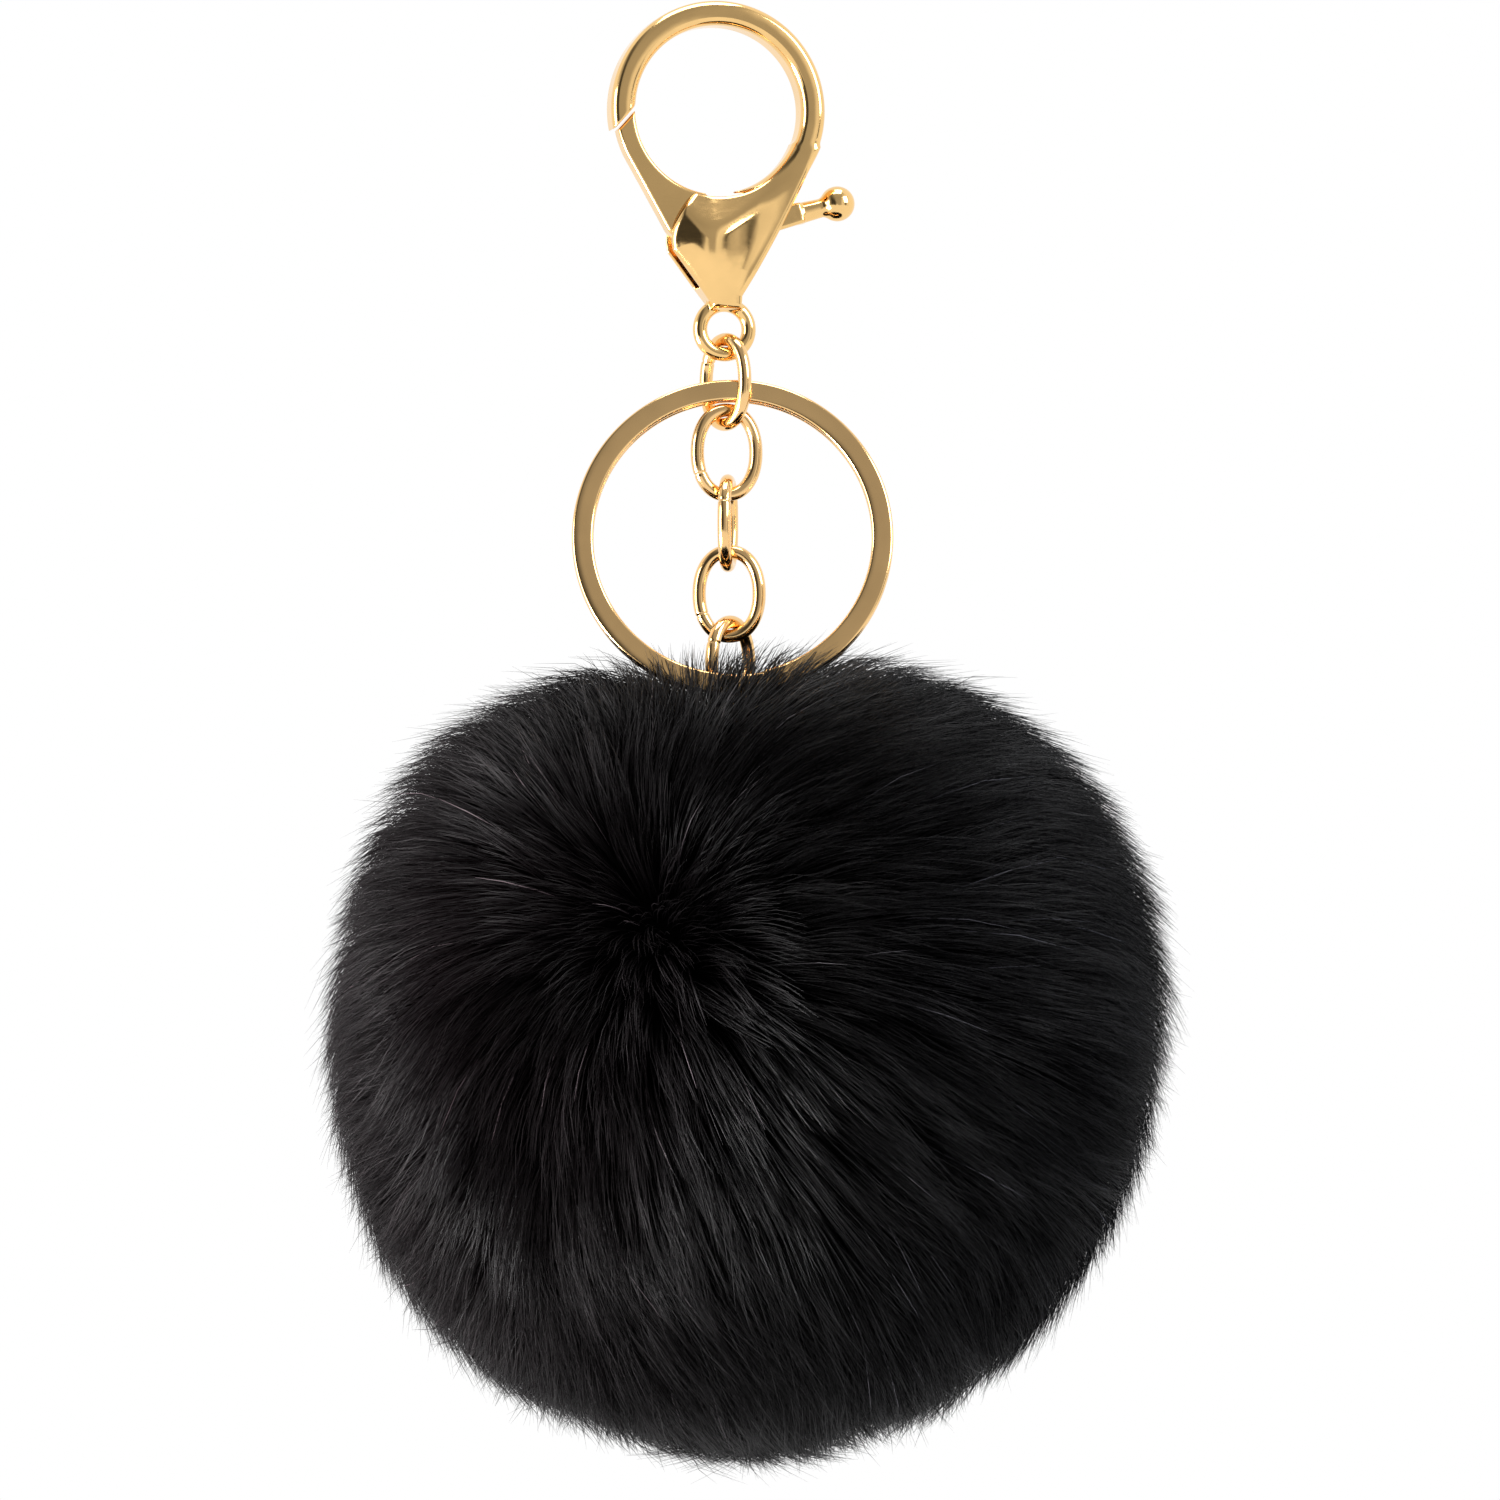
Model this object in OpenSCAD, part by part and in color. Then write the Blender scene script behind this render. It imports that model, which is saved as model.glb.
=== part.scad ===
// Pom-pom keychain: a lobster clasp, five chain links, a flat split ring and a fur pom-pom.
// Millimetres, +Z up. The origin is the centre of the clasp's opening, whose axis is Y.
// The front is -Y. Everything hangs straight down from the clasp.

/* [Clasp] */
// Inside radius of the clasp's opening
opening_r = 7.9; // [7.5:0.1:9]
// Width of the hook's band, from inside to outside
hook_w = 2.3; // [2:0.1:3]
// Depth of the hook, front to back
hook_depth = 3.8; // [3.4:0.1:4.4]
// Depth of the clasp body at its thickest
body_depth = 5.2; // [4.8:0.1:6]
// Length of the clasp from the centre of its opening to its neck
body_drop = 18.3; // [18:0.1:21]
// Thickness of the gate's plate
gate_t = 2.2; // [1.8:0.1:2.4]
// Clearance on each side of the gate, in its slot
slot_gap = 0.1; // [0.05:0.05:0.2]
// Radius of the pivot rivet
rivet_r = 0.8; // [0.6:0.05:1]
// Radial clearance of the gate on its rivet
rivet_gap = 0.05; // [0.02:0.01:0.1]
// Radius of the ball on the thumb lever
ball_r = 1.65; // [1.4:0.05:2]
// Wire diameter of the fixed eye under the clasp
eye_wire = 1.35; // [1.2:0.05:1.5]
// Outside diameter of the fixed eye
eye_d = 6.0; // [5.8:0.1:7]

/* [Chain] */
// Outside length of a link
link_l = 9.2; // [8.8:0.1:11]
// Outside width of a link
link_w = 6.9; // [6.7:0.1:8]
// Wire diameter of a link
link_wire = 1.25; // [1:0.05:1.3]
// Gap between two wires that hang in each other
hang_gap = 0.08; // [0.05:0.01:0.15]

/* [Split ring] */
// Outside diameter of the ring
ring_d = 30; // [26:1:35]
// Width of the ring's flat face
ring_w = 2.0; // [1.6:0.1:2.2]
// Thickness of the ring, two turns of wire together
ring_t = 1.5; // [1.2:0.1:1.7]
// Lean of the ring at rest, its lowest point forward
ring_lean = 10; // [6:1:14]

/* [Pom-pom] */
// Diameter of the fur ball
fur_d = 80; // [70:1:90]
// Diameter of the hide ball that carries the fur
hide_d = 40; // [34:1:44]
// Thickness of the hide
hide_t = 1.2; // [0.8:0.1:1.6]
// Clearance between the pieces inside the ball
soft_gap = 0.3; // [0.2:0.05:0.4]
// Wire diameter of the eye pin
pin_wire = 1.2; // [1:0.05:1.3]
// Diameter of the anchor disc
disc_d = 12; // [9:0.5:14]
// Thickness of the anchor disc
disc_t = 1.0; // [0.8:0.1:1.4]
// Diameter of the gathering thread
thread_d = 0.5; // [0.4:0.05:0.7]

/* [Hidden] */
$fn = 64;
GOLD = [0.86, 0.68, 0.38];
FINE = 0.01;

// Clasp. Points are [x, z], seen from the front.
hook_r = opening_r + hook_w;
slot_w = gate_t + 2 * slot_gap;
hook_corner = 0.95;
tip_angle = 178;
tip_lean = 48;
tip_gap = 0.35;
flank_angle = -19.3;
neck_x = 0.8;
neck_half = 1.6;
neck_depth = 2.9;
pivot = [-0.6, 0.2 - opening_r - 3.9];
heel_z = pivot[1] - 2.35;
floor_z = 1.7 - body_drop;
lever_rise = 15;
ball_at = [hook_r + 1.45, pivot[1] + 3.1];
stub_l = 3.6;
lever_out = ball_at - stub_l * [cos(lever_rise), sin(lever_rise)];
rivet_length = body_depth - 1.1;
// Half depth and height of the body's outline seen from its side, from the hook down
side_profile = [[hook_depth / 2, 0], [hook_depth / 2, -2.5], [body_depth / 2, -opening_r],
    [body_depth / 2 - 0.2, -0.7 * body_drop], [neck_depth / 2, -body_drop - 1]];
eye_r = (eye_d - eye_wire) / 2;
eye_at = [neck_x, -body_drop - eye_r + 0.15];
spring_x = pivot[0] + 2.1;
spring_r = 0.7;
spring_wire = 0.32;
spring_turns = 4;

// Chain. Each wire hangs in the one above with hang_gap between them.
bar_r = (link_w - link_wire) / 2;
link_drop = link_l - link_wire;
hang_at = eye_at[1] - eye_r;
first_top = hang_at + (eye_wire + link_wire) / 2 + hang_gap;
pitch = link_drop - link_wire - hang_gap;
turns = [-62, 2, 71, -17, 40];
lean_x = 0.12;
function link_top(i) = first_top - i * pitch;
function link_x(i) = neck_x + 0.1 + i * lean_x;

// The ring's band lies in the first link, just above the second link's wire.
ring_turn = -12;
ring_x = link_x(0) + 0.7;
ring_r = ring_d / 2 - ring_w / 2;
band_z = link_top(1) + link_wire / 2 + ring_w / 2 + 0.15;
turn_gap = 0.1;
join_angle = 24;

// Pom-pom
ball_x = link_x(4);
pin_r = 2.0;
pin_top = link_top(4) - link_drop + (link_wire + pin_wire) / 2 + hang_gap;
pin_turn = turns[4] + 90;
eye_z = pin_top - pin_r;
hide_r = hide_d / 2;
hide_top = eye_z - pin_r - 7.2;
hide_z = hide_top - hide_r;
throat_r = pin_wire / 2 + soft_gap;
neck_r = throat_r + 2.2;
neck_top = hide_top + 4.2;
disc_z = hide_z + sqrt(pow(hide_r - hide_t, 2) - pow(disc_d / 2, 2)) - soft_gap - disc_t;
rivet_head_r = 1.4;
rivet_head_t = 0.6;
fur_r = fur_d / 2;
pile_top = hide_z + 37.3;
fur_z = pile_top - fur_r;
fur_x = ball_x + 0.6;
dish_low_r = 9;
dish_high_r = 20;

function bend(a, b, c, n = 12) =
    [for (i = [0:n]) let (t = i / n) (1 - t) * (1 - t) * a + 2 * t * (1 - t) * b + t * t * c];

// A flat shape drawn as [x, z], made solid front to back about the middle plane
module plate(thick) {
    rotate([90, 0, 0]) linear_extrude(thick, center = true) children();
}

module pin_hole(r, at, depth) {
    translate([at[0], 0, at[1]]) rotate([90, 0, 0]) cylinder(h = depth, r = r, center = true);
}

module rounded_section(w, h, corner) {
    square([w - 2 * corner, h], center = true);
    square([w, h - 2 * corner], center = true);
    for (x = [-1, 1], y = [-1, 1])
        translate([x * (w / 2 - corner), y * (h / 2 - corner)]) circle(corner);
}

// Everything on the hook's side of the slanted cut, or on the gate's side with the gap added
module beyond_cut(shift) {
    translate([opening_r * cos(tip_angle), opening_r * sin(tip_angle)])
        rotate(tip_lean)
            translate([-12, shift]) square([24, 14]);
}

module hook() {
    difference() {
        rotate([90, 0, 0])
            rotate_extrude(angle = 240, start = -42, $fn = 128)
                translate([opening_r + hook_w / 2, 0])
                    rounded_section(hook_w, hook_depth, hook_corner);
        plate(3 * hook_depth)
            difference() {
                translate([-1.5 * hook_r, -hook_r]) square([1.5 * hook_r - 3, hook_r + 2.5]);
                beyond_cut(0);
            }
    }
}

module body_outline() {
    start = [hook_r * cos(flank_angle), hook_r * sin(flank_angle)];
    foot = [neck_x + neck_half, 0.4 - body_drop];
    left_foot = [neck_x - neck_half, 0.1 - body_drop];
    difference() {
        polygon(concat(
            bend(start, [hook_r - 3.06, -0.57 * body_drop], foot),
            [[foot[0], -body_drop - 0.3], [left_foot[0], -body_drop - 0.3], left_foot],
            bend([-4.4, pivot[1] - 1.6], [-5.0, pivot[1] + 0.8], [-2.2, 0.35 - opening_r]),
            [[0, 2 - opening_r], [opening_r - 2, -3]]));
        circle(opening_r, $fn = 128);
    }
}

// The body seen from its side: thickest under the opening and thin at the neck
module body_side() {
    rotate([90, 0, 90]) linear_extrude(4 * hook_r, center = true)
        polygon(concat(
            [for (p = side_profile) [-p[0], p[1]]],
            [for (i = [len(side_profile) - 1:-1:0]) side_profile[i]]));
}

// The slot that the gate's plate turns in, open to the left, the top and the lever's side
module slot_outline() {
    polygon([[-9, -6.2], [0.8, -6.2], [1.8, 0.4 - opening_r], [hook_r + 3, pivot[1] + 5.6],
        [hook_r + 3, pivot[1] - 3.3], [spring_x + spring_r + 0.45, heel_z - 0.25],
        [spring_x + spring_r + 0.25, floor_z], [-9, floor_z]]);
}

module clasp_body() {
    color(GOLD)
    difference() {
        union() {
            hook();
            difference() {
                intersection() {
                    plate(20) body_outline();
                    body_side();
                }
                plate(slot_w) slot_outline();
            }
            translate([eye_at[0], 0, eye_at[1]]) rotate([90, 0, 0])
                rotate_extrude() translate([eye_r, 0]) circle(eye_wire / 2);
        }
        pin_hole(rivet_r, pivot, rivet_length + FINE);
    }
}

// Gate arm, hub and thumb lever in one casting
module gate_lever() {
    gate_r = hook_r - 0.5;
    side = gate_r * [cos(207), sin(207)];
    color(GOLD)
    difference() {
        union() {
            plate(gate_t)
                difference() {
                    union() {
                        intersection() {
                            circle(gate_r, $fn = 128);
                            translate([-12, side[1]]) square([12, 12]);
                        }
                        polygon([side, [-4.7, pivot[1] + 0.2], [-3.0, pivot[1] - 1.8],
                            [pivot[0], pivot[1] - 2.2], [pivot[0] + 2, pivot[1] + 1.2],
                            [-1.6, 0.5 - opening_r], [-6, side[1]]]);
                        translate(pivot) circle(2.2);
                        polygon([[pivot[0], heel_z], [spring_x + 0.9, heel_z],
                            [spring_x + 1.6, pivot[1] - 0.6], [pivot[0], pivot[1]]]);
                        lever_outline();
                    }
                    circle(opening_r, $fn = 128);
                    beyond_cut(-tip_gap);
                    translate([-3, 0]) square([12, 12]);
                }
            lever_end();
        }
        pin_hole(rivet_r + rivet_gap, pivot, 2 * gate_t);
    }
}

// The flat part of the lever, inside the slot
module lever_outline() {
    across = 0.95 * [-sin(lever_rise), cos(lever_rise)];
    polygon([pivot + [0.3, 2.1], lever_out + across, lever_out - across, pivot + [0.9, -1.4]]);
}

// The round stub and the ball, outside the body
module lever_end() {
    translate([lever_out[0] - 0.3, 0, lever_out[1] - 0.1])
        rotate([0, 90 - lever_rise, 0])
            cylinder(h = stub_l + 0.3, r1 = 1.0, r2 = 0.8);
    translate([ball_at[0], 0, ball_at[1]]) sphere(ball_r);
}

module pivot_rivet() {
    color(GOLD) pin_hole(rivet_r, pivot, rivet_length);
}

// Return spring, standing on the slot's floor under the gate's heel
module gate_spring() {
    steps = 14;
    sides = 6;
    turns_n = spring_turns * steps;
    low = floor_z + spring_wire / 2 + 0.03;
    high = heel_z - spring_wire / 2 - 0.03;
    rings = [for (i = [0:turns_n]) let (a = 360 * i / steps, z = low + (high - low) * i / turns_n)
        [for (k = [0:sides - 1]) let (r = spring_r + spring_wire / 2 * cos(360 * k / sides))
            [r * cos(a), r * sin(a), z + spring_wire / 2 * sin(360 * k / sides)]]];
    color("silver")
    translate([spring_x, 0, 0])
        polyhedron(
            points = [for (ring = rings) each ring],
            faces = concat(
                [[for (k = [0:sides - 1]) k]],
                [for (i = [0:turns_n - 1], k = [0:sides - 1]) let (n = (k + 1) % sides)
                    [i * sides + k, (i + 1) * sides + k, (i + 1) * sides + n, i * sides + n]],
                [[for (k = [sides - 1:-1:0]) turns_n * sides + k]]));
}

// One link in its own plane, hanging from z = 0 at the middle of its top wire
module chain_link(i) {
    straight = link_drop - 2 * bar_r;
    color(GOLD)
    translate([link_x(i), 0, link_top(i) - bar_r]) rotate([0, 0, turns[i]]) {
        rotate([90, 0, 0])
            rotate_extrude(angle = 180) translate([bar_r, 0]) circle(link_wire / 2, $fn = 32);
        for (s = [-1, 1])
            translate([s * bar_r, 0, -straight])
                cylinder(h = straight, r = link_wire / 2, $fn = 32);
        translate([0, 0, -straight]) rotate([-90, 0, 0])
            rotate_extrude(angle = 180) translate([bar_r, 0]) circle(link_wire / 2, $fn = 32);
    }
}

module chain_link_1() { chain_link(0); }
module chain_link_2() { chain_link(1); }
module chain_link_3() { chain_link(2); }
module chain_link_4() { chain_link(3); }
module chain_link_5() { chain_link(4); }

// Two flat turns that lie against each other and join where the wire crosses over
module split_ring() {
    turn_t = (ring_t - turn_gap) / 2;
    color(GOLD)
    translate([ring_x, 0, band_z]) rotate([0, 0, ring_turn]) rotate([-ring_lean, 0, 0])
        translate([0, 0, -ring_r]) rotate([90, 0, 0]) {
            for (s = [-1, 1])
                rotate([0, 0, 210 - s * (join_angle / 2 + 2)])
                    rotate_extrude(angle = s * 356, $fn = 128)
                        translate([ring_r, s * (turn_gap + turn_t) / 2])
                            rounded_section(ring_w, turn_t, 0.2);
            rotate([0, 0, 210 - join_angle / 2])
                rotate_extrude(angle = join_angle, $fn = 128)
                    translate([ring_r, 0]) square([ring_w - 0.5, ring_t - 0.5], center = true);
        }
}

// Wire eye with a straight shank that is headed over under the anchor disc
module eye_pin() {
    color(GOLD)
    translate([ball_x, 0, 0]) {
        translate([0, 0, eye_z]) rotate([0, 0, pin_turn]) rotate([90, 0, 0])
            rotate_extrude() translate([pin_r, 0]) circle(pin_wire / 2, $fn = 32);
        translate([0, 0, disc_z - FINE])
            cylinder(h = eye_z - pin_r - disc_z, r = pin_wire / 2);
        translate([0, 0, disc_z - rivet_head_t]) cylinder(h = rivet_head_t, r = rivet_head_r);
    }
}

module anchor_disc() {
    color("white")
    translate([ball_x, 0, disc_z]) difference() {
        cylinder(h = disc_t, r = disc_d / 2);
        translate([0, 0, -1]) cylinder(h = disc_t + 2, r = pin_wire / 2);
    }
}

// Stuffing, flat on top under the disc
module core_ball() {
    color("ivory")
    difference() {
        translate([ball_x, 0, hide_z]) sphere(hide_r - hide_t - soft_gap, $fn = 96);
        translate([ball_x - hide_r, -hide_r, disc_z - soft_gap]) cube(2 * hide_r);
        translate([ball_x, 0, disc_z - rivet_head_t - soft_gap])
            cylinder(h = 4, r = rivet_head_r + soft_gap);
    }
}

// Hide sewn to a ball, gathered to a short neck round the pin
module pelt_cover() {
    color("dimgray")
    translate([ball_x, 0, 0]) difference() {
        union() {
            translate([0, 0, hide_z]) sphere(hide_r, $fn = 96);
            translate([0, 0, hide_top - 1.5]) cylinder(h = neck_top - hide_top + 1.5, r = neck_r);
        }
        translate([0, 0, hide_z]) sphere(hide_r - hide_t, $fn = 96);
        translate([0, 0, hide_z]) cylinder(h = 2 * hide_r, r = throat_r);
    }
}

// Three turns of thread that draw the hide's neck shut
module gather_thread() {
    color("black")
    for (k = [0:2])
        translate([ball_x, 0, neck_top - 1.2 - k * (thread_d + 0.05)])
            rotate_extrude() translate([neck_r + thread_d / 2 + 0.05, 0])
                circle(thread_d / 2, $fn = 24);
}

// The fur as one soft ball round the hide, with the dish that chain and ring sink into
module fur_pile() {
    color([0.05, 0.05, 0.06])
    difference() {
        translate([fur_x, 0, fur_z]) sphere(fur_r, $fn = 96);
        translate([ball_x, 0, hide_z]) sphere(hide_r + soft_gap, $fn = 96);
        translate([ball_x, 0, neck_top - 8]) cylinder(h = 40, r = neck_r + thread_d + 0.6);
        translate([ball_x, 0, pin_top - 2.4])
            cylinder(h = 11, r1 = dish_low_r, r2 = dish_high_r);
        translate([ball_x, 0, pin_top - 6]) cylinder(h = 10, r = 5.2);
    }
}

clasp_body();
gate_lever();
pivot_rivet();
gate_spring();
chain_link_1();
chain_link_2();
chain_link_3();
chain_link_4();
chain_link_5();
split_ring();
eye_pin();
anchor_disc();
core_ball();
pelt_cover();
gather_thread();
fur_pile();
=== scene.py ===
"""Looks of the fur pom-pom keychain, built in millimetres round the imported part's frame."""

import math

import bmesh
import bpy
import numpy as np
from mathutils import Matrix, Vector


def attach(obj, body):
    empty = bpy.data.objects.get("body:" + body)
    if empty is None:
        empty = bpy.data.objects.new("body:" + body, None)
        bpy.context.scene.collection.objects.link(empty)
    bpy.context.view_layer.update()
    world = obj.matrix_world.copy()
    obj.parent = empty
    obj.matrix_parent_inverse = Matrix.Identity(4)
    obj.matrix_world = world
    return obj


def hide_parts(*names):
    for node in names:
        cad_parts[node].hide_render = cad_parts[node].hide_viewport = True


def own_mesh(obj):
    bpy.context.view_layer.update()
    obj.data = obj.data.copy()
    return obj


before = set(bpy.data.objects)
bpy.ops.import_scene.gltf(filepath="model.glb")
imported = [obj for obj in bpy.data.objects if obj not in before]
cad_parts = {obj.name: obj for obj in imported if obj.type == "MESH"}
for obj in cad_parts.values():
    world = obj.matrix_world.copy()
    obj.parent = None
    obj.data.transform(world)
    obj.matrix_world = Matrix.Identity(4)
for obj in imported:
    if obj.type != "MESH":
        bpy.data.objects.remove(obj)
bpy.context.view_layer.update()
MM = 0.001

# ---------------------------------------------------------------- sizes, in mm
OPENING_R = 7.9
HOOK_W, HOOK_DEPTH = 2.3, 3.8
HOOK_MID_R = OPENING_R + HOOK_W / 2
HOOK_OUT_R = OPENING_R + HOOK_W
PIVOT, RIVET_R, RIVET_HALF, GATE_BORE_R = (-0.6, -11.6), 0.8, 2.06, 0.85
NECK_X = 0.8
EYE_AT, EYE_R, EYE_WIRE = (0.8, -20.475), 2.325, 1.35
BALL_AT, BALL_R, LEVER_RISE = (11.65, -8.5), 1.65, math.radians(15)
GATE_T, SLOT_GAP = 2.2, 0.1
HEEL_Z, FLOOR_Z = -13.95, -16.6
SPRING_AT = (1.5, 0.0)
TIP = (OPENING_R * math.cos(math.radians(178)), OPENING_R * math.sin(math.radians(178)))
TIP_LEAN = math.radians(48)
LINK_L, LINK_W, LINK_WIRE = 9.2, 6.9, 1.25
LINK_TURNS = (-62, 2, 71, -17, 40)
LINK_TOP, LINK_PITCH = -21.42, 6.62
RING_AT, RING_MID_R, RING_W, RING_T = (1.6, -26.265), 14.0, 2.0, 1.5
RING_TURN, RING_LEAN = math.radians(-12), math.radians(10)
HIDE_AT, HIDE_R, HIDE_T = (1.38, 0.0, -85.745), 20.0, 1.2
NECK_R, NECK_TOP = 3.1, -61.545
DISC_LOW, THREAD_R = -69.528, 0.25
BALL_MID, PILE_R = np.array([1.98, 0.0, -88.445]), 39.3
LOCK_COUNT, STRAY = 5200, 0.85
HAIR_COUNT, HAIR_PIECES = ((80000, 10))
HAIR_POINTS, HAIR_SIDES = 4, 3
VIEW_TURN, VIEW_MID, VIEW_WIDTH = math.radians(-12), (3.19, -59.9), 140.6


# ---------------------------------------------------------------- materials
def new_material(name):
    made = bpy.data.materials.new(name)
    made.use_nodes = True
    made.node_tree.nodes.clear()
    return made, made.node_tree


def add(tree, kind, inputs=None, **settings):
    """One shader node, with its settings and its inputs as constants or links."""
    made = tree.nodes.new(kind)
    for key, value in settings.items():
        setattr(made, key, value)
    for key, value in (inputs or {}).items():
        socket = made.inputs[key]
        if isinstance(value, bpy.types.NodeSocket):
            tree.links.new(value, socket)
        else:
            socket.default_value = value
    return made


def surface(tree, shader):
    add(tree, "ShaderNodeOutputMaterial", {"Surface": shader.outputs[0]})


def ramp(tree, factor, stops):
    """A colour ramp from (place, colour or grey) stops."""
    made = add(tree, "ShaderNodeValToRGB", {"Fac": factor})
    bar = made.color_ramp
    while len(bar.elements) < len(stops):
        bar.elements.new(0.5)
    for element, (place, colour) in zip(bar.elements, stops):
        element.position = place
        element.color = (*colour, 1) if isinstance(colour, tuple) else (colour,) * 3 + (1,)
    return made.outputs["Color"]


def noise(tree, where, scale, detail=3.0, rough=0.5):
    inputs = {"Vector": where, "Scale": scale, "Detail": detail, "Roughness": rough}
    return add(tree, "ShaderNodeTexNoise", inputs).outputs["Fac"]


def gloss(tree, **inputs):
    """The surface's shader, with its inputs named as its sockets are."""
    sockets = {key.replace("_", " "): value for key, value in inputs.items()}
    surface(tree, add(tree, "ShaderNodeBsdfPrincipled", sockets))


def blend(tree, factor, a, b, kind="MIX"):
    """Two colours put together in the way that kind names."""
    inputs = {"Factor": factor, 6: a, 7: b}
    return add(tree, "ShaderNodeMix", inputs, data_type="RGBA", blend_type=kind).outputs[2]


def gold(name, colour, rough, scratches, bump):
    """Polished metal with fine slanted scratches and a faintly uneven tone."""
    made, tree = new_material(name)
    where = add(tree, "ShaderNodeTexCoord").outputs["Object"]
    slant = {"Vector": where, "Scale": (1.0, 1.0, 5.0), "Rotation": (0.3, 0.5, 0.2)}
    streaky = add(tree, "ShaderNodeMapping", slant).outputs[0]
    fine = noise(tree, streaky, scratches, 5.0, 0.65)
    broad = noise(tree, where, 320.0, 2.0)
    worn = add(tree, "ShaderNodeMath", {0: fine, 1: broad}, operation="MULTIPLY").outputs[0]
    roughness = ramp(tree, worn, [(0.15, rough), (0.5, rough * 2.2)])
    tone = ramp(tree, broad, [(0.3, colour), (0.75, tuple(c * 0.9 for c in colour))])
    relief = add(tree, "ShaderNodeBump", {"Height": broad, "Strength": bump, "Distance": 0.00012}).outputs[0]
    gloss(tree, Base_Color=tone, Metallic=1.0, Roughness=roughness, Normal=relief)
    return made


def cloth_like(name, dark, light, scale, rough, bump):
    """A dull grained surface between two tones."""
    made, tree = new_material(name)
    where = add(tree, "ShaderNodeTexCoord").outputs["Object"]
    grain = noise(tree, where, scale, 6.0, 0.6)
    tone = ramp(tree, grain, [(0.3, dark), (0.7, light)])
    relief = add(tree, "ShaderNodeBump", {"Height": grain, "Strength": bump, "Distance": 0.0003}).outputs[0]
    gloss(tree, Base_Color=tone, Roughness=rough, Normal=relief, Specular_IOR_Level=0.25)
    return made


def hair_material():
    """Near-black hair, warmer on the left and cooler on the right, with a tone that changes from lock to
    lock, painted shade towards the roots, painted light towards the tips and a few pale hairs as painted
    glints.
    """
    made, tree = new_material("black_fur")
    where = add(tree, "ShaderNodeTexCoord").outputs["Object"]
    shade = add(tree, "ShaderNodeAttribute", attribute_name="shade").outputs["Fac"]
    along = add(tree, "ShaderNodeAttribute", attribute_name="along").outputs["Fac"]
    side = add(tree, "ShaderNodeSeparateXYZ", {"Vector": where}).outputs["X"]
    tint = add(tree, "ShaderNodeMapRange", {"Value": side, "From Min": -0.03, "From Max": 0.035})
    warm, even, cool = (0.0066, 0.0046, 0.0052), (0.0046, 0.0042, 0.0046), (0.0042, 0.0045, 0.006)
    warm_cool = ramp(tree, tint.outputs[0], [(0.0, warm), (0.5, even), (1.0, cool)])
    # Stops up to 0.93 give a tone that differs at random from lock to lock; the stop at 1.0 paints the few
    # marked hairs pale as painted glints.
    light = ramp(tree, shade, [(0.0, 0.3), (0.7, 1.0), (0.93, 2.4), (1.0, 20.0)])
    # Painted shade darkens each hair towards its root, deep in the pile, and painted light brightens it
    # towards its tip.
    root_shade_tip_light = ramp(tree, along, [(0.0, 0.3), (0.5, 0.9), (1.0, 1.7)])
    tone = blend(tree, 1.0, blend(tree, 1.0, warm_cool, light, "MULTIPLY"), root_shade_tip_light, "MULTIPLY")
    lit = add(tree, "ShaderNodeMath", {0: along, 1: shade}, operation="MULTIPLY").outputs[0]
    shine = ramp(tree, lit, [(0.0, 0.0), (0.3, 0.08), (0.85, 0.4)])
    gloss(tree, Base_Color=tone, Roughness=0.36, Specular_IOR_Level=shine)
    return made


GOLD_CAST = gold("gold_cast", (0.99, 0.645, 0.265), 0.075, 900.0, 0.25)
GOLD_WIRE = gold("gold_wire", (1.0, 0.65, 0.29), 0.085, 1300.0, 0.2)
STEEL = gold("spring_wire", (0.62, 0.62, 0.64), 0.18, 1500.0, 0.1)
DISC = cloth_like("disc_moulding", (0.72, 0.71, 0.68), (0.8, 0.79, 0.76), 900.0, 0.4, 0.1)
STUFFING = cloth_like("stuffing_fibre", (0.62, 0.6, 0.56), (0.85, 0.84, 0.8), 700.0, 0.9, 0.8)
HIDE = cloth_like("hide_skin", (0.012, 0.01, 0.01), (0.04, 0.034, 0.032), 1200.0, 0.8, 0.7)
THREAD = cloth_like("waxed_thread", (0.008, 0.008, 0.009), (0.03, 0.03, 0.032), 2600.0, 0.6, 0.6)
FUR = hair_material()


# ---------------------------------------------------------------- meshes
def new_object(name, verts, faces, material, smooth=True):
    """A mesh object from points in mm and lists of face corners."""
    mesh = bpy.data.meshes.new(name)
    corners = [tuple(int(i) for i in face) for face in faces]
    mesh.from_pydata([tuple(v) for v in np.asarray(verts) * MM], [], corners)
    mesh.validate()
    if smooth:
        mesh.shade_smooth()
    else:
        mesh.shade_flat()
    made = bpy.data.objects.new(name, mesh)
    bpy.context.scene.collection.objects.link(made)
    made.data.materials.append(material)
    return made


def finish_piece(obj, body, nodes):
    """Rides a piece on its body, in place of its CAD nodes."""
    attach(obj, body)
    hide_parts(*nodes)


def turned(points, angle):
    """Points turned about the Z axis."""
    c, s = math.cos(angle), math.sin(angle)
    p = np.asarray(points, float)
    return np.stack([c * p[..., 0] - s * p[..., 1], s * p[..., 0] + c * p[..., 1], p[..., 2]], -1)


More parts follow.
